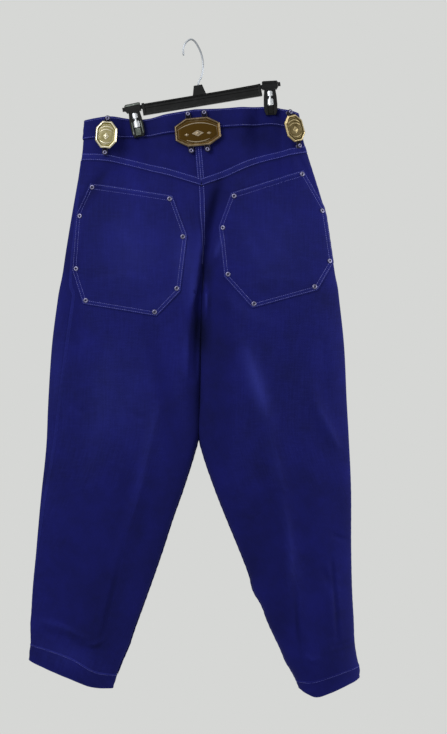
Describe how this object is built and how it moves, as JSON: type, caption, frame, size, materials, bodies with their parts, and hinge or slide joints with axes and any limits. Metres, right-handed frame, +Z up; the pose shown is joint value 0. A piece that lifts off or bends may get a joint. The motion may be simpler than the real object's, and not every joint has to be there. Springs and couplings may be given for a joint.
{
  "type": "baggy jeans on a clip hanger",
  "caption": "Baggy tapered jeans in deep blue denim, hung flat by the waist from a clip hanger, with metal belt-loop plates and riveted patch pockets.",
  "frame": {"origin": "inside top of the hanger's hook, where it hangs", "axes": "+Z up, +X to the right seen from the back of the jeans, -Y out of the back of the jeans"},
  "size_m": [0.6263, 0.0804, 1.2439],
  "materials": {
    "denim": "deep violet blue cotton denim, washed soft",
    "brass": "pale worn brass",
    "bronze": "dark bronze with a bright worn rim",
    "rivet_metal": "dull antique metal",
    "black_plastic": "black moulded plastic",
    "bright_steel": "bright zinc plated steel"
  },
  "bodies": {
    "root": {"waistband": "denim", "yoke_left": "denim", "yoke_right": "denim", "back_left": "denim", "back_right": "denim", "front_left": "denim", "front_right": "denim", "fly_flap": "denim", "hem_left": "denim", "hem_right": "denim", "pocket_left": "denim", "pocket_right": "denim", "waist_button": "brass", "plate_centre": "bronze", "plate_left": "brass", "plate_right": "brass", "plate_centre_post_1": "rivet_metal", "plate_centre_post_2": "rivet_metal", "plate_centre_post_3": "rivet_metal", "plate_centre_post_4": "rivet_metal", "plate_left_post_1": "rivet_metal", "plate_left_post_2": "rivet_metal", "plate_right_post_1": "rivet_metal", "plate_right_post_2": "rivet_metal", "pocket_left_rivet_1": "rivet_metal", "pocket_left_rivet_2": "rivet_metal", "pocket_left_rivet_3": "rivet_metal", "pocket_left_rivet_4": "rivet_metal", "pocket_left_rivet_5": "rivet_metal", "pocket_left_rivet_6": "rivet_metal", "pocket_left_rivet_7": "rivet_metal", "pocket_left_rivet_8": "rivet_metal", "pocket_right_rivet_1": "rivet_metal", "pocket_right_rivet_2": "rivet_metal", "pocket_right_rivet_3": "rivet_metal", "pocket_right_rivet_4": "rivet_metal", "pocket_right_rivet_5": "rivet_metal", "pocket_right_rivet_6": "rivet_metal", "pocket_right_rivet_7": "rivet_metal", "pocket_right_rivet_8": "rivet_metal", "hanger_bar": "black_plastic", "hanger_hook": "bright_steel", "clip_left_near_jaw": "black_plastic", "clip_left_far_jaw": "black_plastic", "clip_left_spring": "bright_steel", "clip_right_near_jaw": "black_plastic", "clip_right_far_jaw": "black_plastic", "clip_right_spring": "bright_steel"}
  },
  "joints": []
}
